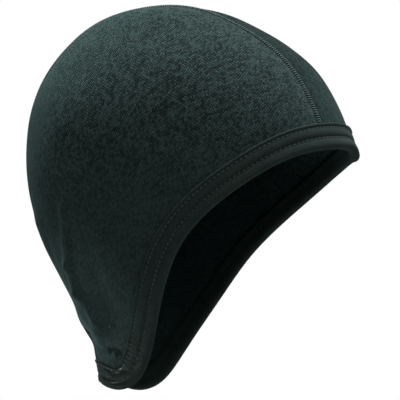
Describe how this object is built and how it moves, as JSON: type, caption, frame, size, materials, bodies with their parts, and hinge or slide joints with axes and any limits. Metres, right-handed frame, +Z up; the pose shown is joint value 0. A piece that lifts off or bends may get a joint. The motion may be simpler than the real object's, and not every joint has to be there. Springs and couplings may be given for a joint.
{
  "type": "helmet liner cap",
  "caption": "Close knit cap worn under a helmet, covering brow, ears and nape, with a centre strip, side panels and a folded edge binding.",
  "frame": {"origin": "inside of the crown, where the cap sits on the top of the head", "axes": "+Z up, -Y the way the wearer faces, -X the wearer's right"},
  "size_m": [0.154, 0.1993, 0.2232],
  "materials": {
    "panel_knit": "dark green-grey heather knit, matte with a soft fuzzy sheen",
    "strip_knit": "the same knit cut the other way, slightly smoother",
    "binding_knit": "flat knit tape, folded over the edge and sewn with two needle rows"
  },
  "bodies": {
    "root": {"side_panel_right": "panel_knit", "side_panel_left": "panel_knit", "crown_strip": "strip_knit", "edge_binding": "binding_knit"}
  },
  "joints": []
}
